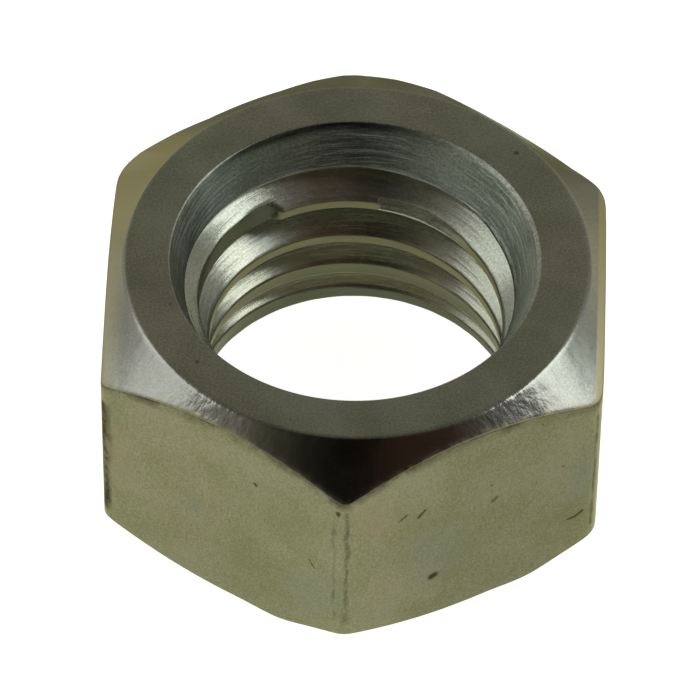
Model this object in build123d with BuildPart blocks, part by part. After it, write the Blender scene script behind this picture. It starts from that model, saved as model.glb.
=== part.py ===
from build123d import *
from build123d import SkipClean
import math
import os

# Hexagon nut with a coarse right-hand thread. The base lies on z = 0, the bore runs along +Z, and two of
# the six corners lie on the Y axis.
across_flats = 14.0
height = 7.6
corner_radius = 0.3  # soft edge between two side faces

# Turned chamfers cut the six corners back and leave a round flat on each end face
top_flat_inset = 0.475  # from the middle of a side face in to the round flat
top_chamfer_angle = 37.0  # from the horizontal
bottom_flat_inset = 0.15
bottom_chamfer_angle = 33.0

# Thread
thread_diameter = 10.0
pitch = 1.5
flank_angle = 30.0  # from the horizontal
root_flat_ratio = 1 / 8  # flat at the bottom of the groove over the pitch
lowest_crest = 0.7  # height of the middle of the lowest crest, above the +Y axis
groove_overlap = 0.1  # how far the groove's tool reaches in past the crests

# A steep countersink leads the bolt in from the top
top_mouth_allowance = 0.42  # mouth diameter over thread diameter
top_countersink_angle = 44.0  # included

# At the bottom a short countersink opens into a bell mouth, which takes the crests down step by step
bottom_mouth_allowance = 0.5
bottom_countersink_angle = 90.0
bell_mouth_angle = 20.0
bell_mouth_depth = 0.5  # part of the thread's depth that is gone where the bell mouth is widest

# End faces and chamfers
flat_radius = across_flats / 2
corner_reach = flat_radius / math.cos(math.radians(30))
top_flat_radius = flat_radius - top_flat_inset
top_chamfer_depth = (corner_reach - top_flat_radius) * math.tan(math.radians(top_chamfer_angle))
bottom_flat_radius = flat_radius - bottom_flat_inset
bottom_chamfer_depth = (corner_reach - bottom_flat_radius) * math.tan(math.radians(bottom_chamfer_angle))

# Bore
bore_radius = (thread_diameter - pitch) / 2  # the tapping drill's size, which leaves each crest a flat
thread_radius = thread_diameter / 2
thread_depth = thread_radius - bore_radius
top_mouth_radius = (thread_diameter + top_mouth_allowance) / 2
top_lead_in = (top_mouth_radius - bore_radius) / math.tan(math.radians(top_countersink_angle / 2))
bottom_mouth_radius = (thread_diameter + bottom_mouth_allowance) / 2
bell_radius = bore_radius + thread_depth * bell_mouth_depth
bottom_lead_in = (bottom_mouth_radius - bell_radius) / math.tan(math.radians(bottom_countersink_angle / 2))
bell_top = bottom_lead_in + (bell_radius - bore_radius) / math.tan(math.radians(bell_mouth_angle / 2))

# The groove's section is a V with a flat root. Its helix starts above the +X axis, more than a pitch below
# the base, and runs out over the top face.
root_half_width = pitch * root_flat_ratio / 2
groove_inner_radius = bore_radius - groove_overlap
groove_depth = thread_radius - groove_inner_radius
groove_half_width = root_half_width + groove_depth * math.tan(math.radians(flank_angle))
first_groove = lowest_crest - pitch / 4 - pitch / 2  # the groove under the lowest crest, above the +X axis
groove_start = first_groove - pitch
groove_turns = math.ceil((height - groove_start) / pitch) + 1

with BuildPart() as thread_groove:
    with BuildLine():
        Helix(pitch=pitch, height=groove_turns * pitch, radius=thread_radius, center=(0, 0, groove_start))
    with BuildSketch(Plane.XZ):
        with BuildLine():
            Polyline(
                (groove_inner_radius, groove_start - groove_half_width),
                (thread_radius, groove_start - root_half_width),
                (thread_radius, groove_start + root_half_width),
                (groove_inner_radius, groove_start + groove_half_width),
                close=True,
            )
        make_face()
    sweep(is_frenet=True)

with BuildPart() as whole_nut:
    # Hexagon bar, with its six edges eased
    with BuildSketch():
        RegularPolygon(radius=flat_radius, side_count=6, major_radius=False, rotation=30)
    extrude(amount=height)
    fillet(whole_nut.edges().filter_by(Axis.Z), radius=corner_radius)

    # Turned chamfers at both ends
    with BuildSketch(Plane.XZ):
        with BuildLine():
            Polyline(
                (0, 0),
                (bottom_flat_radius, 0),
                (corner_reach, bottom_chamfer_depth),
                (corner_reach, height - top_chamfer_depth),
                (top_flat_radius, height),
                (0, height),
                close=True,
            )
        make_face()
    revolve(axis=Axis.Z, mode=Mode.INTERSECT)

    # Bore and thread
    with BuildSketch():
        Circle(bore_radius)
    extrude(amount=height, mode=Mode.SUBTRACT)
    add(thread_groove.part, mode=Mode.SUBTRACT)

    # The countersinks come last, and cut the first and last turns of the thread away
    with BuildSketch(Plane.XZ):
        with BuildLine():
            Polyline(
                (0, height),
                (top_mouth_radius, height),
                (bore_radius, height - top_lead_in),
                (0, height - top_lead_in),
                close=True,
            )
        make_face()
        with BuildLine():
            Polyline(
                (0, 0),
                (bottom_mouth_radius, 0),
                (bell_radius, bottom_lead_in),
                (bore_radius, bell_top),
                (0, bell_top),
                close=True,
            )
        make_face()
    revolve(axis=Axis.Z, mode=Mode.SUBTRACT)

# The nut is split lengthwise and joined again, so that no face of the crests goes round more than half a turn
with BuildPart() as nut:
    with SkipClean():
        for side in (Keep.TOP, Keep.BOTTOM):
            add(split(whole_nut.part, bisect_by=Plane.XZ, keep=side, mode=Mode.PRIVATE))
nut.part.label = "nut"

os.makedirs("parts", exist_ok=True)
export_step(nut.part, "parts/nut.step")
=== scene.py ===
import math

import bmesh
import bpy
import numpy as np
from mathutils import Matrix, Vector


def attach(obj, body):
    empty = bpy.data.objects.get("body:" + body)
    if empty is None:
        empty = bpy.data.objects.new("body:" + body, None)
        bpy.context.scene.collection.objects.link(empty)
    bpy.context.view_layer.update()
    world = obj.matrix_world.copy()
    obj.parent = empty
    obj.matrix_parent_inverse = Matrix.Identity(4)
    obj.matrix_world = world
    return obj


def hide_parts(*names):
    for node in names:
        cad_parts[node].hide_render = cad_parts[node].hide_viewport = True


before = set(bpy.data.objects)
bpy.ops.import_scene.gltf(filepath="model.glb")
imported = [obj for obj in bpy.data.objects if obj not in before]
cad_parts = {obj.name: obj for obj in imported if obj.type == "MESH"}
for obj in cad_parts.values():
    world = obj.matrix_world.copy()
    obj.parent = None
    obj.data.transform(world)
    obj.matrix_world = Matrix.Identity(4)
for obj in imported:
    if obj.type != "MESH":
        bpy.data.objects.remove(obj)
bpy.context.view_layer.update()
print("frame loaded")
millimetre = 0.001  # metres
mergeDistance = 1e-6  # metres
coneTolerance = 0.02  # millimetres

# Outside of the nut, in millimetres and degrees
nutSizes = {
    "height": 7.6,
    "flatRadius": 7.0,
    # The six side faces, counted round from +X: which way each looks, and how far in it lies
    "flatDirections": (0.0, 59.5, 119.5, 179.5, 239.5, 299.6),
    "flatInsets": (0.0, 0.16, 0.0, 0.0, 0.0, 0.0),
    "firstCorner": 29.6,
    # Radius of the soft edge between two side faces, from the first corner round through +Y and -X
    "cornerRoundings": (1.3, 0.6, 1.1, 0.55, 0.5, 0.9),
    "topFlatRadius": 6.525,
    "topChamferAngle": 37.0,
    "bottomFlatRadius": 6.85,
    "bottomChamferAngle": 33.0,
    # The chamfer meets the side faces a little higher or lower in places: azimuth and lift
    "topEdge": (
        (0, 30, 36, 49, 57, 65, 73, 83, 90, 95, 102, 110, 129, 137, 145, 151, 360),
        (0, 0, -0.12, -0.13, -0.09, 0, 0.14, 0.14, 0.05, 0.14, 0.12, 0.03, 0, 0.11, 0.16, 0, 0),
    ),
    # The bottom chamfer is shallower just before each corner: by how much, how far before it and how wide
    "bottomEdgeSkew": (0.16, 15, 7),
    "bottomEdgeDrop": 0.04,
    "lowestEdge": 0.03,
    # Small chamfer round the mouth of the top countersink: azimuth and width
    "mouthRim": (
        (0, 20, 45, 62, 75, 125, 145, 160, 200, 300, 320, 340, 360),
        (0.11, 0.13, 0.12, 0.06, 0.02, 0.02, 0.06, 0.04, 0.02, 0.02, 0.04, 0.08, 0.11),
    ),
    "mouthRimAngle": 32.0,
    "columns": 420,
    "cornerCrowding": 0.5,  # draws the columns together at the six corners
    "rowCrowding": 0.6,  # draws the rows together at the ends of a stretch
    "easeLimit": 0.45,  # an eased corner takes at most this part of the stretch beside it
}

# Threaded bore, in millimetres and degrees
boreSizes = {
    "Columns": nutSizes["columns"],
    "Rows per turn": 32,
    "Turns": 7,
    "Corner crowding": nutSizes["cornerCrowding"],
    "Pitch": 1.5,
    "Crest radius": 4.16,
    "Root radius": 5.0,
    "Crest flat": 0.34,
    "Root flat": 0.1875,
    "Lowest crest": 0.7,  # height of the middle of the lowest crest, above the +Y axis
    "Mouth radius": 5.18,
    "Countersink shift": 0.09,  # towards -X
    "Countersink angle": 22.0,
    "Lip height": 6.2,  # the countersink ends here, in a steeper step
    "Lip slope": 1.0,
    "Groove end": 6.75,  # the groove has run out into the countersink at this height
    "Groove clearance": 0.07,  # and stays this far inside the countersink's surface above it
    "Groove run-out": 3.0,  # how steeply it deepens below it
    "Bell radius": 4.63,
    "Bell height": 0.62,
    "Bell angle": 10.0,
    "Easing": 0.06,
    "Height": nutSizes["height"],
    "Upper end": 7.35,
    "Lower end": 0.15,
}


def columnAngles():
    steps = np.arange(nutSizes["columns"]) * 2 * math.pi / nutSizes["columns"]
    return steps - nutSizes["cornerCrowding"] / 6 * np.sin(6 * steps - math.pi)


def slopeOf(degrees):
    return math.tan(math.radians(degrees))


def hill(distance, width):  # 1 in the middle, and falls off to both sides
    return np.exp(-((distance / width) ** 2))


def mouthRadius(cosine):  # of the countersink, for the cosine of the azimuth
    return boreSizes["Mouth radius"] - boreSizes["Countersink shift"] * cosine


class Field:  # a value in a node tree that can be written in sums
    def __init__(self, tree, socket):
        self.tree = tree
        self.socket = socket

    def math(self, operation, *others):
        made = self.tree.nodes.new("ShaderNodeMath")
        made.operation = operation
        for slot, value in zip(made.inputs, (self, *others)):
            if isinstance(value, Field):
                self.tree.links.new(value.socket, slot)
            else:
                slot.default_value = value
        return Field(self.tree, made.outputs[0])

    def __add__(self, other):
        return self.math("ADD", other)

    def __sub__(self, other):
        return self.math("SUBTRACT", other)

    def __mul__(self, other):
        return self.math("MULTIPLY", other)

    def __truediv__(self, other):
        return self.math("DIVIDE", other)


def addNode(tree, kind, inputs=None, **settings):
    made = tree.nodes.new(kind)
    for name, value in settings.items():
        setattr(made, name, value)
    for name, value in (inputs or {}).items():
        if isinstance(value, Field):
            value = value.socket
        if isinstance(value, bpy.types.NodeSocket):
            tree.links.new(value, made.inputs[name])
        else:
            made.inputs[name].default_value = value
    return made


def vectorMath(tree, operation, first, second=None):
    inputs = {0: first}
    if second is not None:
        inputs[3 if operation == "SCALE" else 1] = second
    made = addNode(tree, "ShaderNodeVectorMath", inputs, operation=operation)
    return made.outputs["Value" if operation in ("DOT_PRODUCT", "DISTANCE") else "Vector"]


def axesOf(tree, vector):
    parts = addNode(tree, "ShaderNodeSeparateXYZ", {0: vector})
    return [Field(tree, parts.outputs[axis]) for axis in "XYZ"]


def makeBoreTree():  # the threaded bore, by Geometry Nodes
    tree = bpy.data.node_groups.new("threadedBore", "GeometryNodeTree")
    tree.interface.new_socket(name="Geometry", in_out="OUTPUT", socket_type="NodeSocketGeometry")
    for name, value in boreSizes.items():
        kind = "NodeSocketInt" if isinstance(value, int) else "NodeSocketFloat"
        tree.interface.new_socket(name=name, in_out="INPUT", socket_type=kind)
    tree.interface.new_socket(name="Finish", in_out="INPUT", socket_type="NodeSocketMaterial")
    given = tree.nodes.new("NodeGroupInput")
    size = {name: Field(tree, given.outputs[name]) for name in boreSizes}
    pitch = size["Pitch"]

    # A grid whose columns run down the bore and whose rows climb with the thread
    rows = size["Rows per turn"] * size["Turns"]
    grid = addNode(
        tree,
        "GeometryNodeMeshGrid",
        {"Size X": 1.0, "Size Y": 1.0, "Vertices X": size["Columns"] + 1, "Vertices Y": rows + 1},
    )
    gridX, gridY, _ = axesOf(tree, addNode(tree, "GeometryNodeInputPosition").outputs[0])
    across = gridX + 0.5
    up = gridY * -1.0 + 0.5
    step = across * (2 * math.pi)
    angle = step - (step * 6.0 - math.pi).math("SINE") * size["Corner crowding"] / 6.0
    turn = angle / (2 * math.pi)
    base = size["Lowest crest"] - pitch * 0.75  # a whole number of rows away from each crest's middle
    climb = base + (up * size["Turns"] - 1.0 + turn) * pitch
    z = climb.math("MAXIMUM", size["Lower end"]).math("MINIMUM", size["Upper end"])

    # Thread: how far a point is from the middle of the nearest crest gives its radius
    fromCrest = (z - size["Lowest crest"] - (turn - 0.25) * pitch).math("PINGPONG", pitch * 0.5)
    fromRoot = pitch * 0.5 - fromCrest - size["Root flat"] * 0.5
    depth = size["Root radius"] - size["Crest radius"]
    flankHeight = (pitch - size["Crest flat"] - size["Root flat"]) * 0.5
    flank = size["Root radius"] - fromRoot * depth / flankHeight
    easing = size["Easing"]
    thread = flank.math("SMOOTH_MAX", size["Crest radius"], easing)
    thread = thread.math("SMOOTH_MIN", size["Root radius"], easing)

    # Countersink at the top, with a step at its lower end
    coneSlope = size["Countersink angle"].math("RADIANS").math("TANGENT")
    mouth = size["Mouth radius"] - size["Countersink shift"] * angle.math("COSINE")
    cone = mouth - (size["Height"] - z) * coneSlope
    lipRadius = mouth - (size["Height"] - size["Lip height"]) * coneSlope
    lip = lipRadius - (size["Lip height"] - z) * size["Lip slope"]
    runOut = (size["Groove end"] - z).math("MAXIMUM", 0.0) * size["Groove run-out"]
    thread = thread.math("MINIMUM", cone - size["Groove clearance"] + runOut)

    # Bell mouth and short countersink at the bottom
    bellSlope = size["Bell angle"].math("RADIANS").math("TANGENT")
    bell = size["Bell radius"] - (z - size["Bell height"]) * bellSlope
    bottom = size["Bell radius"] + size["Bell height"] - z
    radius = thread.math("SMOOTH_MAX", cone.math("MINIMUM", lip), easing)
    radius = radius.math("SMOOTH_MAX", bell.math("MAXIMUM", bottom), easing)

    spot = addNode(
        tree,
        "ShaderNodeCombineXYZ",
        {"X": angle.math("COSINE") * radius, "Y": angle.math("SINE") * radius, "Z": z},
    )
    metres = vectorMath(tree, "SCALE", spot.outputs[0], millimetre)
    placed = addNode(tree, "GeometryNodeSetPosition", {"Geometry": grid.outputs["Mesh"], "Position": metres})
    stitched = addNode(
        tree,
        "GeometryNodeMergeByDistance",
        {"Geometry": placed.outputs[0], "Distance": mergeDistance},
    )
    soft = addNode(tree, "GeometryNodeSetShadeSmooth", {"Geometry": stitched.outputs[0]})
    real = addNode(tree, "GeometryNodeRealizeInstances", {"Geometry": soft.outputs[0]})
    coated = addNode(
        tree,
        "GeometryNodeSetMaterial",
        {"Geometry": real.outputs[0], "Material": given.outputs["Finish"]},
    )
    addNode(tree, "NodeGroupOutput", {"Geometry": coated.outputs[0]})
    return tree


def makeBore(finish):
    tree = makeBoreTree()
    seed = bpy.data.meshes.new("boreSeed")
    holder = bpy.data.objects.new("boreSeed", seed)
    bpy.context.scene.collection.objects.link(holder)
    modifier = holder.modifiers.new("threadedBore", "NODES")
    modifier.node_group = tree
    for item in tree.interface.items_tree:
        if item.in_out == "INPUT":
            modifier[item.identifier] = boreSizes.get(item.name, finish)
    bpy.context.view_layer.update()
    evaluated = holder.evaluated_get(bpy.context.evaluated_depsgraph_get())
    mesh = bpy.data.meshes.new_from_object(evaluated)
    holder.modifiers.remove(modifier)
    bpy.data.objects.remove(holder)
    return mesh


def hexagonEdges(angles):  # reach of the side faces, and heights at which the chamfers meet them
    s = nutSizes
    sharp = s["flatRadius"] / math.cos(math.radians(30))
    corners = np.radians(s["firstCorner"] + 60 * np.arange(-1, 7))
    roundings = np.array((s["cornerRoundings"][-1], *s["cornerRoundings"], s["cornerRoundings"][0]))
    rounding = np.interp(angles, corners, roundings)
    power = math.log(2) / np.log(sharp / (sharp - rounding * (sharp / s["flatRadius"] - 1)))
    total = np.zeros_like(angles)  # the six side faces blend into each other by this sum
    for direction, inset in zip(s["flatDirections"], s["flatInsets"]):
        facing = np.maximum(np.cos(angles - math.radians(direction)), 1e-9)
        total += (facing / (s["flatRadius"] - inset)) ** power
    wall = total ** (-1 / power)
    wall = np.minimum(wall, s["flatRadius"] / np.abs(np.cos(angles)))

    topEdge = s["height"] - (wall - s["topFlatRadius"]) * slopeOf(s["topChamferAngle"])
    topEdge += np.interp(np.degrees(angles), *s["topEdge"])
    fromCorner = ((np.degrees(angles) - s["firstCorner"] + 30) % 60) - 30
    bottomEdge = (wall - s["bottomFlatRadius"]) * slopeOf(s["bottomChamferAngle"]) - s["bottomEdgeDrop"]
    skew, before, width = s["bottomEdgeSkew"]
    bottomEdge -= skew * hill(fromCorner + before, width)
    return wall, topEdge, np.maximum(bottomEdge, s["lowestEdge"])


def outsideRows():
    angles = columnAngles()
    s = nutSizes
    height, easeLimit = s["height"], s["easeLimit"]
    upperEnd, lowerEnd = boreSizes["Upper end"], boreSizes["Lower end"]
    wall, topEdge, bottomEdge = hexagonEdges(angles)
    coneSlope = slopeOf(boreSizes["Countersink angle"])
    mouth = mouthRadius(np.cos(angles))
    rim = np.interp(np.degrees(angles), *s["mouthRim"])
    rimDepth = rim * slopeOf(s["mouthRimAngle"])
    bottomMouth = boreSizes["Bell radius"] + boreSizes["Bell height"]
    ring = np.ones_like(angles)
    # Radius, height and easing of each corner, then the rows and the finish up to the next one
    knots = [
        (ring * (bottomMouth - lowerEnd), ring * lowerEnd, 0.0, 1, "countersink"),
        (ring * bottomMouth, ring * 0, 0.05, 4, "endFace"),
        (ring * s["bottomFlatRadius"], ring * 0, 0.08, 4, "chamfer"),
        (wall, bottomEdge, 0.08, 12, "sideFace"),
        (wall, topEdge, 0.06, 9, "chamfer"),
        (ring * s["topFlatRadius"], ring * height, 0.09, 5, "endFace"),
        (mouth - rimDepth * coneSlope + rim, ring * height, 0.03, 1, "rim"),
        (mouth - rimDepth * coneSlope, height - rimDepth, 0.02, 3, "countersink"),
        (mouth - (height - upperEnd) * coneSlope, ring * upperEnd, 0.0, 0, "countersink"),
    ]

    def point(knot):
        return np.stack([knot[0], knot[1]])

    rows = [point(knots[0])]
    zones = []
    for index in range(1, len(knots)):
        before, corner = point(knots[index - 1]), point(knots[index])
        easeBefore, rowsBetween, zone = knots[index - 1][2:]
        ease, _, nextZone = knots[index][2:]
        length = np.hypot(*(corner - before))
        startEase = np.minimum(easeBefore, easeLimit * length)
        endEase = np.minimum(ease, easeLimit * length)
        way = (corner - before) / length
        # Straight stretch, with a row close to each eased corner that holds the shape
        inner = length - startEase - endEase
        for part in np.linspace(0, 1, rowsBetween + 2)[1:]:
            share = part
            if rowsBetween > 2:
                share = 0.5 - 0.5 * np.sign(0.5 - part) * abs(1 - 2 * part) ** s["rowCrowding"]
            rows.append(before + way * (startEase + inner * share))
            zones.append(zone)
        if index < len(knots) - 1:
            after = point(knots[index + 1])
            lengthAfter = np.hypot(*(after - corner))
            leave = np.minimum(ease, easeLimit * lengthAfter)
            start = corner - way * endEase
            end = corner + (after - corner) / lengthAfter * leave
            for part in (0.25, 0.5, 0.75, 1.0):
                rows.append((1 - part) ** 2 * start + 2 * part * (1 - part) * corner + part**2 * end)
                zones.append(zone if part <= 0.5 else nextZone)
    return angles, np.array(rows), zones


zoneNames = ["sideFace", "chamfer", "endFace", "rim", "countersink", "thread"]


def isOnCone(spot):
    x, z = spot.x / millimetre, spot.z / millimetre
    radius = math.hypot(spot.x, spot.y) / millimetre
    cone = mouthRadius(x / radius) - (nutSizes["height"] - z) * slopeOf(boreSizes["Countersink angle"])
    return z > boreSizes["Lip height"] - coneTolerance and abs(radius - cone) < coneTolerance


def makeNutMesh(finishes):
    bore = makeBore(finishes["thread"])
    wearCrests(bore)
    angles, rows, zones = outsideRows()
    count = len(angles)
    shell = np.empty((len(rows), count, 3))
    shell[..., 0] = rows[:, 0] * np.cos(angles)
    shell[..., 1] = rows[:, 0] * np.sin(angles)
    shell[..., 2] = rows[:, 1]
    points = shell.reshape(-1, 3) * millimetre
    first = np.arange(count)
    following = (first + 1) % count
    faces, slots = [], []
    for row, zone in enumerate(zones):
        low, high = row * count, (row + 1) * count
        faces += np.stack([low + first, low + following, high + following, high + first], 1).tolist()
        slots += [zoneNames.index(zone)] * count
    outside = bpy.data.meshes.new("outside")
    outside.from_pydata(points.tolist(), [], faces)
    outside.polygons.foreach_set("material_index", slots)

    work = bmesh.new()
    work.from_mesh(bore)
    work.normal_update()
    for face in work.faces:
        zone = "countersink" if isOnCone(face.calc_center_median()) else "thread"
        face.material_index = zoneNames.index(zone)
    work.from_mesh(outside)
    bmesh.ops.remove_doubles(work, verts=work.verts, dist=mergeDistance)
    mesh = bpy.data.meshes.new("zincNut")
    for name in zoneNames:
        mesh.materials.append(finishes[name])
    work.to_mesh(mesh)
    openEdges = sum(1 for edge in work.edges if len(edge.link_faces) != 2)
    print("nut mesh:", len(work.verts), "points,", openEdges, "open edges")
    work.free()
    mesh.polygons.foreach_set("use_smooth", [True] * len(mesh.polygons))
    bpy.data.meshes.remove(bore)
    bpy.data.meshes.remove(outside)
    markPlaces(mesh)
    return mesh


# Wear of the crests, whose turns are counted from the one above +Y
crestWear = {
    "turns": (2.0, 3.09, 3.10, 3.115, 3.14, 9.0),
    "radii": (4.16, 4.16, 4.50, 4.52, 4.46, 4.46),  # the crest is gone down to here
    "tornFrom": 2.86,  # here the crest slopes, with a torn lower edge
    "tornTo": 2.98,
    "tornFadeIn": 0.06,
    "tornSlope": 0.4,
    "raggedness": 0.010,
    "raggedPoints": 4000,
    "raggedStep": 0.9,  # degrees from one point of the torn edge to the next
    "raggedLean": 9,  # degrees that the tears lean in a millimetre of height
    "raggedRepeat": 1000,  # degrees after which they come again
    "seed": 4,
    "boreRadius": 5.02,  # points further out aren't worn, nor are those below or above these heights
    "lowest": 0.2,
    "overLip": 0.3,
}


def pointsOf(mesh):  # in millimetres, with each point's radius and angle
    places = np.empty(len(mesh.vertices) * 3)
    mesh.vertices.foreach_get("co", places)
    x, y, z = (places.reshape(-1, 3) / millimetre).T
    return x, y, z, np.hypot(x, y), np.arctan2(y, x) % (2 * math.pi)


def threadPlaces(z, angle):  # turns up the thread, height over the nearest crest's middle, and how torn it is
    s = crestWear
    position = angle / (2 * math.pi) - 0.25
    rise = (z - boreSizes["Lowest crest"]) / boreSizes["Pitch"] - position
    turn = np.round(rise) + position
    torn = np.clip((turn - s["tornFrom"]) / s["tornFadeIn"], 0, 1) * (turn < s["tornTo"])
    return turn, (rise - np.round(rise)) * boreSizes["Pitch"], torn


def wearCrests(mesh):
    s = crestWear
    x, y, z, radius, angle = pointsOf(mesh)
    turn, overCrest, torn = threadPlaces(z, angle)
    inBore = (radius < s["boreRadius"]) & (z > s["lowest"]) & (z < boreSizes["Lip height"] + s["overLip"])
    cut = np.interp(turn, s["turns"], s["radii"])
    cut += torn * np.maximum(overCrest + boreSizes["Crest flat"] / 2, 0) * s["tornSlope"]
    tears = np.random.default_rng(s["seed"]).uniform(-1, 1, s["raggedPoints"])
    along = (turn * 360 + overCrest * s["raggedLean"]) % s["raggedRepeat"]
    cut += torn * s["raggedness"] * np.interp(along, np.arange(s["raggedPoints"]) * s["raggedStep"], tears)
    worn = np.where(inBore, np.maximum(radius, cut), radius)
    places = np.stack([x * worn / radius, y * worn / radius, z], 1)
    mesh.vertices.foreach_set("co", (places * millimetre).ravel())
    mesh.update()


# Places that the finishes look up as attributes of the mesh, in millimetres and degrees
lookedUp = {
    "crestUpright": (0.3, 0.7),  # 0 is level and 1 upright; a crest is more upright than its flanks
    "cutUpright": 0.6,
    "threadRadius": 4.8,
    "cutRadii": (4.2, 4.45),  # a crest at the first isn't cut back, and one at the second is in full
    "edgeWidth": 0.13,
    "paintedReflectionBackLeft": ((124, 142, 166, 182), (0, 1, 1, 0)),  # painted reflection on a stretch at the back left: azimuth and share
    "crinkled": ((234, 9), (310, 8)),  # azimuth and width
    # Painted shade, a dark line along the mouth of the countersink: azimuth and share
    "mouthShade": ((0, 50, 72, 90, 118, 132, 145, 360), (0, 0, 0.4, 1, 1, 0.8, 0, 0)),
    "shadeDepth": 0.10,
    "shadeWidth": 0.14,
    "shadeRadius": 5.3,
    "shadeWaves": 0.05,
    "shadeWaveCount": 60,
    "seed": 2,
}


def fade(values, low, high):
    return np.clip((values - low) / (high - low), 0, 1)


def markPlaces(mesh):
    s = lookedUp
    x, y, z, radius, angle = pointsOf(mesh)
    normals = np.empty(len(mesh.vertices) * 3)
    mesh.vertex_normals.foreach_get("vector", normals)
    upright = 1 - np.abs(normals.reshape(-1, 3)[:, 2])
    wall, topEdge, _ = hexagonEdges(angle)
    torn = threadPlaces(z, angle)[2]
    degrees = np.degrees(angle)
    inThread = radius < s["threadRadius"]
    # Painted shade: a dark wavy line just under the mouth of the countersink
    count = s["shadeWaveCount"]
    waves = np.random.default_rng(s["seed"]).uniform(-s["shadeWaves"], s["shadeWaves"], count)
    waves = np.interp(degrees, np.arange(count) * 360 / count, waves, period=360)
    underMouth = z - (nutSizes["height"] - s["shadeDepth"] + waves)
    shade = np.interp(degrees, *s["mouthShade"]) * hill(underMouth, s["shadeWidth"])
    places = {
        # The crest share picks the painted reflection colour of the thread's crests
        "crest": fade(upright, *s["crestUpright"]) * inThread * (1 - torn),
        "cutBack": fade(radius, *s["cutRadii"]) * (upright > s["cutUpright"]) * inThread,
        "edge": hill(np.hypot(radius - wall, z - topEdge), s["edgeWidth"]),
        "paintedReflectionBackLeft": np.interp(degrees, *s["paintedReflectionBackLeft"]),
        "crinkled": sum(hill(degrees - azimuth, width) for azimuth, width in s["crinkled"]),
        "mouthShade": shade * (radius < s["shadeRadius"]),
    }
    for name, values in places.items():
        mesh.attributes.new(name, "FLOAT", "POINT").data.foreach_set("value", values.astype(np.float32))


# Finishes
zincFinishes = {
    # Two tints of the layer, roughness from and to, and depth of the fine marks, coarse marks and grain
    "sideFace": {
        # The olive tint is partly the layer's own colour and partly a painted reflection of a yellowish floor
        "tint": (0.146, 0.152, 0.076),
        "otherTint": (0.224, 0.221, 0.138),
        "roughness": (0.34, 0.46),
        "relief": (3e-6, 9e-6, 2e-6),
        "streaks": "upright",
        "edgeTint": (1.0, 0.97, 0.72),
        "greenTint": (0.150, 0.182, 0.138),
        "pinkTint": (0.230, 0.190, 0.118),
        "paintedShadingAcross": (0.0, 0.004, 1.02, 0.85),  # painted shade, darker to the right: from one x to another in metres: brightness from and to
    },
    "chamfer": {
        "tint": (0.250, 0.253, 0.205),
        "otherTint": (0.300, 0.303, 0.260),
        "roughness": (0.16, 0.24),
        "relief": (6e-6, 12e-6, 0.1e-6),
        "streaks": "radial",
        "edgeTint": (0.42, 0.41, 0.29),
        # Strength of the fine marks and of the coarse ones: added at the crinkles, and all over
        "crinkles": ((2.2, 0.35), (1.2, 0.6)),
        # Painted reflection: tan at the far right and left and at the back left; the same tint in hairs along
        # the edge
        "reflectionAndHairTint": (0.43, 0.395, 0.235),
        "paintedReflectionRight": (0.00674, 0.00682),  # painted reflection at the far right: from one x to another in metres: not at all, and in full
        "paintedReflectionLeft": (-0.00700, -0.00640, 0.6, 0.0),
        "hairs": (0.40, 0.60, 0.10, 0.75),  # from one strength of the noise to another: share from and to
        "dullRoughness": 0.25,
    },
    "endFace": {
        "tint": (0.185, 0.190, 0.120),
        "otherTint": (0.285, 0.280, 0.200),
        "roughness": (0.30, 0.38),
        "relief": (2e-6, 6e-6, 2.0e-6),
        "streaks": "radial",
    },
    "rim": {
        "tint": (0.20, 0.20, 0.16),
        "otherTint": (0.36, 0.36, 0.31),
        "roughness": (0.32, 0.44),
        "relief": (4e-6, 16e-6, 1e-6),
        "streaks": "radial",
    },
    "countersink": {
        "tint": (0.180, 0.202, 0.170),
        "otherTint": (0.300, 0.324, 0.284),
        "roughness": (0.36, 0.48),
        "relief": (26e-6, 66e-6, 1e-6),
        "streaks": "round",
        "brushed": 0.8,
        # Painted light, brighter to the right: from one x to another in metres: brightness from and to
        "paintedShadingAcross": (0.0, 0.005, 0.84, 1.75),
        # Painted shade along the mouth: how much darker it makes the colour
        "shade": -0.85,
    },
    "thread": {
        "tint": (0.330, 0.340, 0.248),
        "otherTint": (0.480, 0.492, 0.415),
        "paintedLowLightTint": (0.520, 0.518, 0.375),
        "paintedLowLightFade": (0.0015, 0.0050, 0.6, 0.0),  # painted light, lighter and warmer low down: from one height to another: share from and to
        # Painted reflection: darker and more olive on the crests, which stand upright; painted shade where a
        # crest is cut back
        "crestReflectionTint": (0.200, 0.195, 0.098),
        "crestRoughness": 0.12,
        "cutBackShadeTint": (0.090, 0.101, 0.060),
        "metallic": 0.75,
        "roughness": (0.19, 0.31),
        "relief": (9e-6, 12e-6, 0.5e-6),
        "streaks": "round",
        "brushed": 0.6,
        "edgeTint": (0.70, 0.70, 0.52),
    },
}

# What all the finishes share
zincLayer = {
    "tintShares": (0.4, 0.6),  # parts of the patches and of the grain in the mix of the two tints
    "tintContrast": (0.4, 0.6),  # noise below the first gives one tint, above the second the other
    "castTints": ((0.975, 1.0, 0.98), (1.02, 1.0, 1.01)),  # greener and pinker areas
    "castContrast": (0.4, 0.6),
    "glossContrast": (0.35, 0.65),
    "uprightStretch": (1, 1, 0.25),
    "turnedSlant": 0.6,  # the turned lines change this much as fast with the height as with the radius
}

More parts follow.
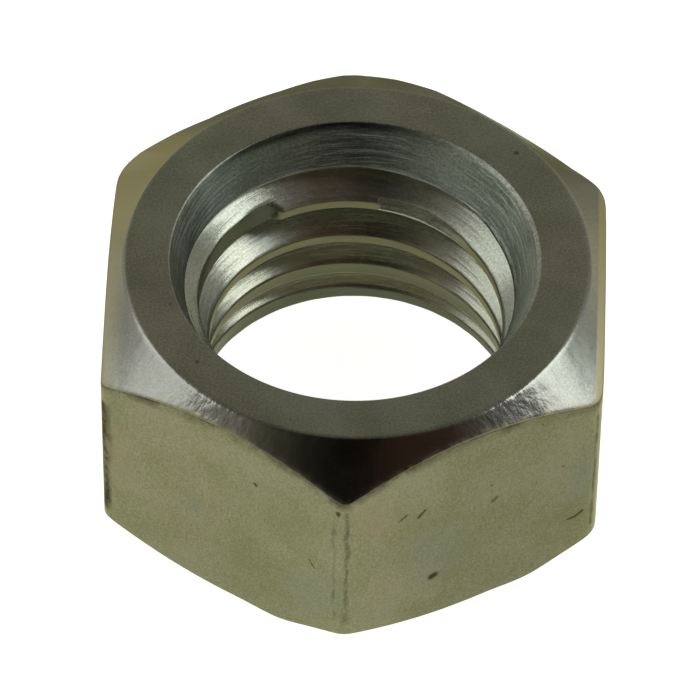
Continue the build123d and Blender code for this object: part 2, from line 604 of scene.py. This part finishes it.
# Noise: scale, detail, roughness and, for lines, how fast they change from one to the next
patterns = {
    "uprightLines": (7000.0, 2.0, 0.6),
    "uprightCoarse": (900.0, 2.0, 0.5),
    "radialLines": (40.0, 2.0, 0.5, 125.0),
    "radialCoarse": (14.0, 1.0, 0.5, 110.0),
    "roundLines": (1.4, 2.0, 0.6, 7000.0),
    "roundCoarse": (5.0, 2.0, 0.5, 900.0),
    "grain": (15000.0, 2.0, 0.6),
    "patches": (520.0, 3.0, 0.55),
    "cast": (330.0, 2.0, 0.5),
    "hairs": (2400.0, 3.0, 0.6),
    "ragged": (2600.0, 3.0, 0.6),
    "sway": (1500.0, 2.0, 0.5),
    "broken": (1900.0, 3.0, 0.7),
    "border": (1300.0, 3.0, 0.6),
}

# Stains, clouds and small marks: two ends in millimetres, half width and strength
sideSpots = (
    ((2.37, -6.70, 1.84), (2.45, -6.66, 1.86), 0.13, 1.0),
    ((6.17, -4.55, 1.91), (6.40, -4.42, 1.93), 0.050, 0.8),
    ((6.38, -4.43, 1.93), (6.56, -4.33, 2.04), 0.070, 0.9),
    ((1.98, -6.92, 4.76), (2.14, -6.83, 4.92), 0.060, 0.8),
    ((1.42, -7.22, 4.88), (1.60, -7.12, 5.04), 0.050, 0.6),
    ((4.02, -5.77, 4.14), (4.12, -5.71, 4.24), 0.080, 0.5),
    ((-2.58, -6.60, 5.57), (-2.56, -6.61, 5.54), 0.060, 0.8),
    ((-0.24, -7.96, 6.08), (-0.24, -7.96, 6.00), 0.070, 0.8),
    ((-1.01, -7.50, 3.44), (-0.78, -7.63, 2.95), 0.028, 0.6),
    ((-0.78, -7.63, 2.95), (-0.42, -7.84, 2.66), 0.028, 0.6),
)
greenClouds = (
    ((-4.54, -5.45, 3.11), (-4.30, -5.60, 3.30), 0.35, 0.30),
    ((-0.66, -7.73, 2.37), (-1.00, -7.50, 1.90), 0.80, 0.30),
    ((2.60, -6.57, 2.43), (2.40, -6.70, 3.20), 1.00, 0.28),
    ((6.61, -4.29, 2.94), (6.50, -4.30, 4.20), 0.50, 0.28),
)
pinkClouds = (
    ((0.49, -7.77, 6.05), (0.80, -7.60, 5.20), 0.60, 0.35),
    ((-6.60, -4.20, 4.60), (-6.50, -4.30, 3.00), 0.50, 0.35),
)
edgeLines = (
    ((0.02, -8.02, 6.10), (0.02, -8.02, 1.25), 0.070, 0.45),
    ((-0.02, -8.02, 1.60), (-0.02, -8.02, 1.25), 0.110, 0.45),
    ((-0.33, -7.88, 5.90), (-0.31, -7.90, 1.30), 0.050, 0.35),
    ((-6.96, -3.98, 5.60), (-6.92, -4.00, 1.20), 0.170, 1.0),
    ((-6.96, -3.98, 5.50), (-6.94, -4.00, 3.40), 0.260, 0.7),
    ((-6.96, -3.98, 3.40), (-6.94, -4.00, 2.40), 0.220, 0.6),
    ((6.88, -4.02, 5.90), (6.84, -4.08, 1.20), 0.075, 0.5),
)
topSpots = (
    ((4.38, 4.18, 7.6), (4.41, 4.18, 7.6), 0.06, 0.8),
    ((-5.15, -1.90, 7.6), (-5.13, -1.90, 7.6), 0.05, 0.6),
    ((-4.30, -3.98, 7.6), (-4.28, -3.98, 7.6), 0.06, 0.7),
)

dirt = {
    "colour": (0.062, 0.048, 0.016),
    "metallic": -0.4,  # added where there is dirt, as the roughness is
    "roughness": 0.35,
    "depth": 10e-6,
    "raggedness": 0.10,
    "softness": (0.45, 1.35),  # a mark fades from and to these parts of its half width
    "cloudSway": 0.5,  # millimetres that the outlines wander
    "lineSway": 0.22,
    "spotSway": 0.05,
    "broken": (0.40, 0.56, 0.35, 1.0),
    "border": (0.42, 0.60, 0.15, 0.7),
    "speckScale": 1500.0,
    "speckSize": (0.03, 0.09, 1.0, 0.0),
    "speckShare": (0.86, 0.90, 0.0, 0.5),
}


def noiseNode(tree, vector, pattern, across=None):
    scale, detail, roughness, *change = patterns[pattern]
    inputs = {"Vector": vector, "Scale": scale, "Detail": detail, "Roughness": roughness}
    if across is not None:
        inputs["W"] = across * change[0]
    return addNode(tree, "ShaderNodeTexNoise", inputs, noise_dimensions="3D" if across is None else "4D")


def noise(tree, vector, pattern, across=None):
    return Field(tree, noiseNode(tree, vector, pattern, across).outputs[0])


def ramp(tree, value, low, high, fromValue=0.0, toValue=1.0):
    made = addNode(
        tree,
        "ShaderNodeMapRange",
        {"Value": value, "From Min": low, "From Max": high, "To Min": fromValue, "To Max": toValue},
        clamp=True,
    )
    return Field(tree, made.outputs[0])


def attribute(tree, name):
    return Field(tree, addNode(tree, "ShaderNodeAttribute", attribute_name=name).outputs["Fac"])


def mixColours(tree, share, low, high, blend="MIX"):
    made = addNode(tree, "ShaderNodeMix", {0: share}, data_type="RGBA", blend_type=blend)
    for slot, colour in ((6, low), (7, high)):
        if isinstance(colour, bpy.types.NodeSocket):
            tree.links.new(colour, made.inputs[slot])
        else:
            made.inputs[slot].default_value = (*colour, 1)
    return made.outputs[2]


def spots(tree, place, marks, sway=0.0):
    total = None
    ragged = (noise(tree, place, "ragged") - 0.5) * dirt["raggedness"]
    if sway:
        shift = noiseNode(tree, place, "sway").outputs[1]
        shift = vectorMath(tree, "SUBTRACT", shift, (0.5, 0.5, 0.5))
        place = vectorMath(tree, "ADD", place, vectorMath(tree, "SCALE", shift, sway * millimetre))
    for start, end, halfWidth, strength in marks:
        start, end = Vector(start) * millimetre, Vector(end) * millimetre
        way = end - start
        fromStart = vectorMath(tree, "SUBTRACT", place, start)
        share = Field(tree, vectorMath(tree, "DOT_PRODUCT", fromStart, way / way.length_squared))
        share = share.math("MAXIMUM", 0.0).math("MINIMUM", 1.0)
        away = vectorMath(tree, "DISTANCE", fromStart, vectorMath(tree, "SCALE", way, share))
        distance = Field(tree, away) * 1000.0 + ragged  # in millimetres
        near, far = (part * halfWidth for part in dirt["softness"])
        spot = ramp(tree, distance, near, far, strength, 0.0)
        total = spot if total is None else total.math("MAXIMUM", spot)
    return total


def sideMarks(tree, place):
    lines = spots(tree, place, edgeLines, dirt["lineSway"])
    lines = lines * ramp(tree, noise(tree, place, "broken"), *dirt["broken"])
    small = spots(tree, place, sideSpots, dirt["spotSway"])
    # The edge to the chamfer is darker in places
    border = attribute(tree, "edge") * ramp(tree, noise(tree, place, "border"), *dirt["border"])
    cells = addNode(
        tree,
        "ShaderNodeTexVoronoi",
        {"Vector": place, "Scale": dirt["speckScale"], "Randomness": 1.0},
        feature="F1",
    )
    rare = addNode(tree, "ShaderNodeSeparateColor", {0: cells.outputs["Color"]})
    specks = ramp(tree, Field(tree, cells.outputs["Distance"]), *dirt["speckSize"])
    specks = specks * ramp(tree, Field(tree, rare.outputs[0]), *dirt["speckShare"])
    return lines.math("MAXIMUM", small).math("MAXIMUM", border).math("MAXIMUM", specks)


def toolMarks(tree, name, place, radius, z):  # fine and coarse ones
    s = zincFinishes[name]
    if s["streaks"] == "upright":  # fine lines down the side faces
        stretched = vectorMath(tree, "MULTIPLY", place, zincLayer["uprightStretch"])
        return noise(tree, stretched, "uprightLines"), noise(tree, place, "uprightCoarse")
    direction = vectorMath(tree, "NORMALIZE", vectorMath(tree, "MULTIPLY", place, (1, 1, 0)))
    if s["streaks"] == "round":  # lines of the turning tool, which run round the bore
        across = radius + z * zincLayer["turnedSlant"]
        return noise(tree, direction, "roundLines", across), noise(tree, direction, "roundCoarse", across)
    # Crinkles that run outwards, and are stronger at two places of the chamfer
    marks = noise(tree, direction, "radialLines", radius), noise(tree, direction, "radialCoarse", radius)
    if "crinkles" not in s:
        return marks
    crinkled = attribute(tree, "crinkled")
    return [(mark - 0.5) * (crinkled * more + base) + 0.5 for mark, (more, base) in zip(marks, s["crinkles"])]


def makeFinish(name):
    s = zincFinishes[name]
    material = bpy.data.materials.new(name + "Zinc")
    material.use_nodes = True
    tree = material.node_tree
    shader = tree.nodes["Principled BSDF"]
    shader.inputs["Metallic"].default_value = s.get("metallic", 1.0)
    place = addNode(tree, "ShaderNodeTexCoord").outputs["Object"]
    x, y, z = axesOf(tree, place)
    radius = (x * x + y * y).math("SQRT")
    lines, coarse = toolMarks(tree, name, place, radius, z)
    grain = noise(tree, place, "grain")
    patches = noise(tree, place, "patches")

    ofPatches, ofGrain = zincLayer["tintShares"]
    mottling = ramp(tree, patches * ofPatches + grain * ofGrain, *zincLayer["tintContrast"])
    colour = mixColours(tree, mottling, s["tint"], s["otherTint"])
    cast = ramp(tree, noise(tree, place, "cast"), *zincLayer["castContrast"])
    colour = mixColours(tree, 1.0, colour, mixColours(tree, cast, *zincLayer["castTints"]), "MULTIPLY")
    gloss = ramp(tree, patches * 0.5 + lines * 0.5, *zincLayer["glossContrast"], *s["roughness"])
    marks = None
    if name == "sideFace":  # clouds in the layer, and painted shade: the face on the right is a little darker
        colour = mixColours(tree, spots(tree, place, greenClouds, dirt["cloudSway"]), colour, s["greenTint"])
        colour = mixColours(tree, spots(tree, place, pinkClouds, dirt["cloudSway"]), colour, s["pinkTint"])
        colour = vectorMath(tree, "SCALE", colour, ramp(tree, x, *s["paintedShadingAcross"]))
        marks = sideMarks(tree, place)
    elif name == "endFace":
        marks = spots(tree, place, topSpots)
    elif name == "countersink":  # painted light, brighter on the right, and painted shade, dark along the mouth at the back
        shade = attribute(tree, "mouthShade") * s["shade"] + 1.0
        colour = vectorMath(tree, "SCALE", colour, ramp(tree, x, *s["paintedShadingAcross"]) * shade)
    elif name == "chamfer":  # painted reflection, tan and rougher at the far right and left and at the back left; tan, rough hairs along the edge
        hairs = attribute(tree, "edge") * ramp(tree, noise(tree, place, "hairs"), *s["hairs"])
        paintedReflectionAndHairs = ramp(tree, x, *s["paintedReflectionRight"]).math("MAXIMUM", ramp(tree, x, *s["paintedReflectionLeft"]))
        paintedReflectionAndHairs = paintedReflectionAndHairs.math("MAXIMUM", hairs).math("MAXIMUM", attribute(tree, "paintedReflectionBackLeft"))
        colour = mixColours(tree, paintedReflectionAndHairs, colour, s["reflectionAndHairTint"])
        gloss = gloss + paintedReflectionAndHairs * s["dullRoughness"]
    elif name == "thread":  # painted light, lighter and warmer low down, and painted reflection, darker and more olive on the crests; painted shade on the cut-back crests
        colour = mixColours(tree, ramp(tree, z, *s["paintedLowLightFade"]), colour, s["paintedLowLightTint"])
        crest = attribute(tree, "crest")
        paintedCrestColour = mixColours(tree, attribute(tree, "cutBack"), s["crestReflectionTint"], s["cutBackShadeTint"])
        colour = mixColours(tree, crest, colour, paintedCrestColour)
        gloss = gloss + crest * s["crestRoughness"]

    fineDepth, coarseDepth, grainDepth = s["relief"]
    height = lines * fineDepth + coarse * coarseDepth + grain * grainDepth
    if marks is not None:  # dirt has less of the metal's gloss
        colour = mixColours(tree, marks, colour, dirt["colour"])
        gloss = gloss + marks * dirt["roughness"]
        height = height - marks * dirt["depth"]
        tree.links.new((marks * dirt["metallic"] + 1.0).socket, shader.inputs["Metallic"])
    tree.links.new(colour, shader.inputs["Base Color"])
    tree.links.new(gloss.socket, shader.inputs["Roughness"])
    if "edgeTint" in s:  # colour that the metal keeps at a grazing angle
        shader.inputs["Specular Tint"].default_value = (*s["edgeTint"], 1)
    if "brushed" in s:
        shader.inputs["Anisotropic"].default_value = s["brushed"]
        shader.inputs["Anisotropic Rotation"].default_value = 0.25  # across the lines round the bore
        around = addNode(tree, "ShaderNodeTangent", direction_type="RADIAL", axis="Z")
        tree.links.new(around.outputs[0], shader.inputs["Tangent"])
    relief = addNode(tree, "ShaderNodeBump", {"Strength": 1.0, "Distance": 1.0, "Height": height})
    tree.links.new(relief.outputs[0], shader.inputs["Normal"])
    return material


finishes = {name: makeFinish(name) for name in zoneNames}
nutMesh = makeNutMesh(finishes)
nut = bpy.data.objects.new("zincNut", nutMesh)
bpy.context.scene.collection.objects.link(nut)
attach(nut, "root")
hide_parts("nut")
print("nut made")

# Camera at the photograph's viewing angle, aimed at the middle of the nut
cameraView = {
    "azimuth": 1.28,
    "elevation": 49.72,
    "roll": 0.88,
    "distance": 0.1862,
    "lens": 336.1,
    "sensor": 36,
    "reach": (0.01, 8),
    "aimHeight": 0.0038,
    "right": -0.000161,
    "up": -0.0001037,
}


def wayTo(s):  # azimuth 0 is in front of the nut and 90 to its right
    azimuth, elevation = math.radians(s["azimuth"]), math.radians(s["elevation"])
    across = math.cos(elevation)
    return Vector((math.sin(azimuth) * across, -math.cos(azimuth) * across, math.sin(elevation)))


def makeCamera():
    s = cameraView
    data = bpy.data.cameras.new("camera")
    data.sensor_width = s["sensor"]
    data.lens = s["lens"]
    data.clip_start, data.clip_end = s["reach"]
    camera = bpy.data.objects.new("camera", data)
    bpy.context.scene.collection.objects.link(camera)
    back = wayTo(s)
    turn = back.to_track_quat("Z", "Y").to_matrix() @ Matrix.Rotation(math.radians(s["roll"]), 3, "Z")
    place = Vector((0, 0, s["aimHeight"])) + back * s["distance"] + turn @ Vector((s["right"], s["up"], 0))
    camera.matrix_world = Matrix.Translation(place) @ turn.to_4x4()
    bpy.context.scene.camera = camera


# Floor, lamps and world. A fade says where it starts and ends, and often its two values. In the world, where
# means how far a direction points right, back or up, from -1 to 1, or towards the camera for roomFade.
studio = {
    "floorSize": 4.0,
    "floorColour": (0.9, 0.9, 0.9),
    "floorGlow": 0.92,
    "mirroredMiddle": (0, -0.012, 0),  # round here the metal mirrors the floor's full light
    "mirroredFade": (0.025, 0.036, 1.0, 0.12),  # metres from that middle
    "horizon": 0.52,
    "horizonFade": (0.22, 0.52),
    "horizonSides": (0.75, 0.85),  # brighter to both sides: added there, and all round
    "horizonFront": (-0.95, -0.40, 0.20, 1.0),
    "horizonBack": (0.50, 0.90, 1.0, 0.75),
    "horizonColour": (1.0, 0.98, 0.72),
    "whiteFade": (0.10, 0.40, 1.0, 0.0),
    "backWall": 0.245,
    "backWallFade": (0.1, 0.45),
    "backWallTop": (0.80, 0.95, 1.0, 0.0),
    "overhead": 0.12,
    "fromLeft": 0.30,
    "fromLeftFade": (-0.60, -0.10, 1.0, 0.0),
    "fromLeftHeight": (0.30, 0.60),
    "fromRight": 0.055,
    "fromRightFade": (0.05, 0.20),
    "roomLight": 0.004,
    "roomFade": (0.72, 0.88),
    "roomColour": (1.0, 0.50, 0.36),
    "roomColourFade": (-0.04, 0.16),
    "roomLeftColour": (1.0, 0.93, 0.66),
    "boxColour": (0.96, 1.0, 1.06),
    "softBoxes": {
        "leftBox": {"azimuth": -96, "elevation": 43, "distance": 0.6, "size": (0.34, 0.28), "power": 0.38},
        "rightBox": {"azimuth": 100, "elevation": 43, "distance": 0.6, "size": (0.22, 0.27), "power": 0.57},
    },
}


def makeFloor():
    half = studio["floorSize"] / 2
    corners = [(-half, -half, 0), (half, -half, 0), (half, half, 0), (-half, half, 0)]
    mesh = bpy.data.meshes.new("floor")
    mesh.from_pydata(corners, [], [(0, 1, 2, 3)])
    floor = bpy.data.objects.new("floor", mesh)
    bpy.context.scene.collection.objects.link(floor)
    material = bpy.data.materials.new("paleFloor")
    material.use_nodes = True
    tree = material.node_tree
    tree.nodes.clear()
    rays = addNode(tree, "ShaderNodeLightPath")
    place = addNode(tree, "ShaderNodeTexCoord").outputs["Object"]
    away = Field(tree, vectorMath(tree, "DISTANCE", place, studio["mirroredMiddle"]))
    mirrored = ramp(tree, away, *studio["mirroredFade"])
    seen = Field(tree, rays.outputs["Is Camera Ray"]) + Field(tree, rays.outputs["Is Glossy Ray"]) * mirrored
    seen = (seen + Field(tree, rays.outputs["Is Transmission Ray"])).math("MINIMUM", 1.0)
    glow = seen * studio["floorGlow"]
    glow = addNode(tree, "ShaderNodeEmission", {"Color": (1, 1, 1, 1), "Strength": glow})
    matt = addNode(tree, "ShaderNodeBsdfDiffuse", {"Color": (*studio["floorColour"], 1)})
    both = addNode(tree, "ShaderNodeAddShader", {0: glow.outputs[0], 1: matt.outputs[0]})
    addNode(tree, "ShaderNodeOutputMaterial", {"Surface": both.outputs[0]})
    mesh.materials.append(material)


def makeLamps():
    for name, s in studio["softBoxes"].items():
        lamp = bpy.data.lights.new(name, "AREA")
        lamp.shape = "RECTANGLE"
        lamp.size, lamp.size_y = s["size"]
        lamp.energy = s["power"]
        lamp.color = studio["boxColour"]
        box = bpy.data.objects.new(name, lamp)
        bpy.context.scene.collection.objects.link(box)
        way = wayTo(s)
        turn = way.to_track_quat("Z", "Y").to_matrix().to_4x4()
        box.matrix_world = Matrix.Translation(way * s["distance"]) @ turn


def makeWorld():
    s = studio
    world = bpy.data.worlds.new("studio")
    bpy.context.scene.world = world
    world.use_nodes = True
    tree = world.node_tree
    way = addNode(tree, "ShaderNodeTexCoord").outputs["Generated"]
    x, y, z = axesOf(tree, way)
    more, base = s["horizonSides"]
    low = ramp(tree, z, *s["horizonFade"], s["horizon"], 0.0) * (x.math("ABSOLUTE") * more + base)
    low = low * ramp(tree, y, *s["horizonFront"]) * ramp(tree, y, *s["horizonBack"])
    behind = ramp(tree, y, *s["backWallFade"], 0.0, s["backWall"]) * ramp(tree, z, *s["backWallTop"])
    # The camera stands in front of a dark room, so the light from there is the weakest
    nearness = Field(tree, vectorMath(tree, "DOT_PRODUCT", way, wayTo(cameraView)))
    room = ramp(tree, nearness, *s["roomFade"], s["overhead"], s["roomLight"])
    fromLeft = ramp(tree, x, *s["fromLeftFade"])
    fromLeft = fromLeft * fromLeft * ramp(tree, z, *s["fromLeftHeight"])
    room = room + fromLeft * s["fromLeft"] + ramp(tree, x, *s["fromRightFade"], 0.0, s["fromRight"])
    light = low.math("MAXIMUM", behind) + room
    inRoom = ramp(tree, nearness, *s["roomFade"])
    colour = mixColours(tree, ramp(tree, z, *s["whiteFade"]), (1, 1, 1), s["horizonColour"])
    colour = mixColours(tree, inRoom, colour, s["roomLeftColour"])
    colour = mixColours(tree, inRoom * ramp(tree, x, *s["roomColourFade"]), colour, s["roomColour"])
    tree.links.new(light.socket, tree.nodes["Background"].inputs["Strength"])
    tree.links.new(colour, tree.nodes["Background"].inputs["Color"])


makeFloor()
makeLamps()
makeWorld()
print("studio made")

makeCamera()
bpy.context.scene.view_settings.view_transform = "Standard"
print("camera placed")
